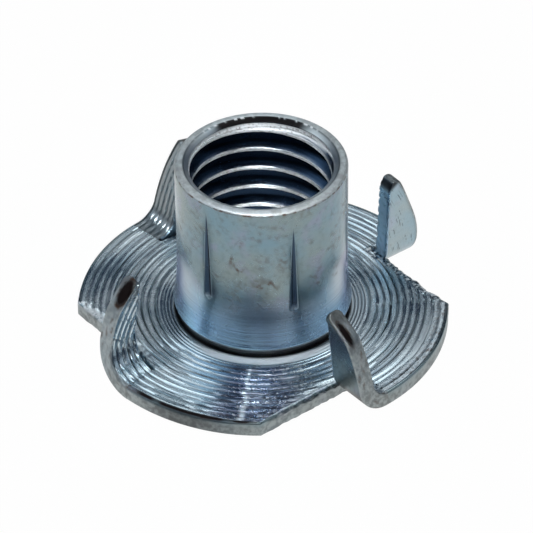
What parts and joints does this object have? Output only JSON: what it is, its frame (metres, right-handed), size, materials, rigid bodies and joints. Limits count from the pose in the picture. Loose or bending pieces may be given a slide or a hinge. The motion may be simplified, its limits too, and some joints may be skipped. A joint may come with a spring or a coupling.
{
  "type": "tee nut",
  "caption": "Pronged tee nut: a threaded barrel standing on a thin round flange whose rim is slit and folded up into prongs.",
  "frame": {"origin": "on the barrel's axis, in the plane of the flange's underside", "axes": "+Z along the barrel's axis from the flange towards the barrel's rim; +X and +Y lie in the flange's plane, with -Y towards the viewer"},
  "size_m": [0.0242, 0.0242, 0.0124],
  "materials": {
    "zinc_plate": "bright zinc-plated mild steel, slightly bluish, with turned grooves"
  },
  "bodies": {
    "root": {"tee_nut": "zinc_plate"}
  },
  "joints": []
}
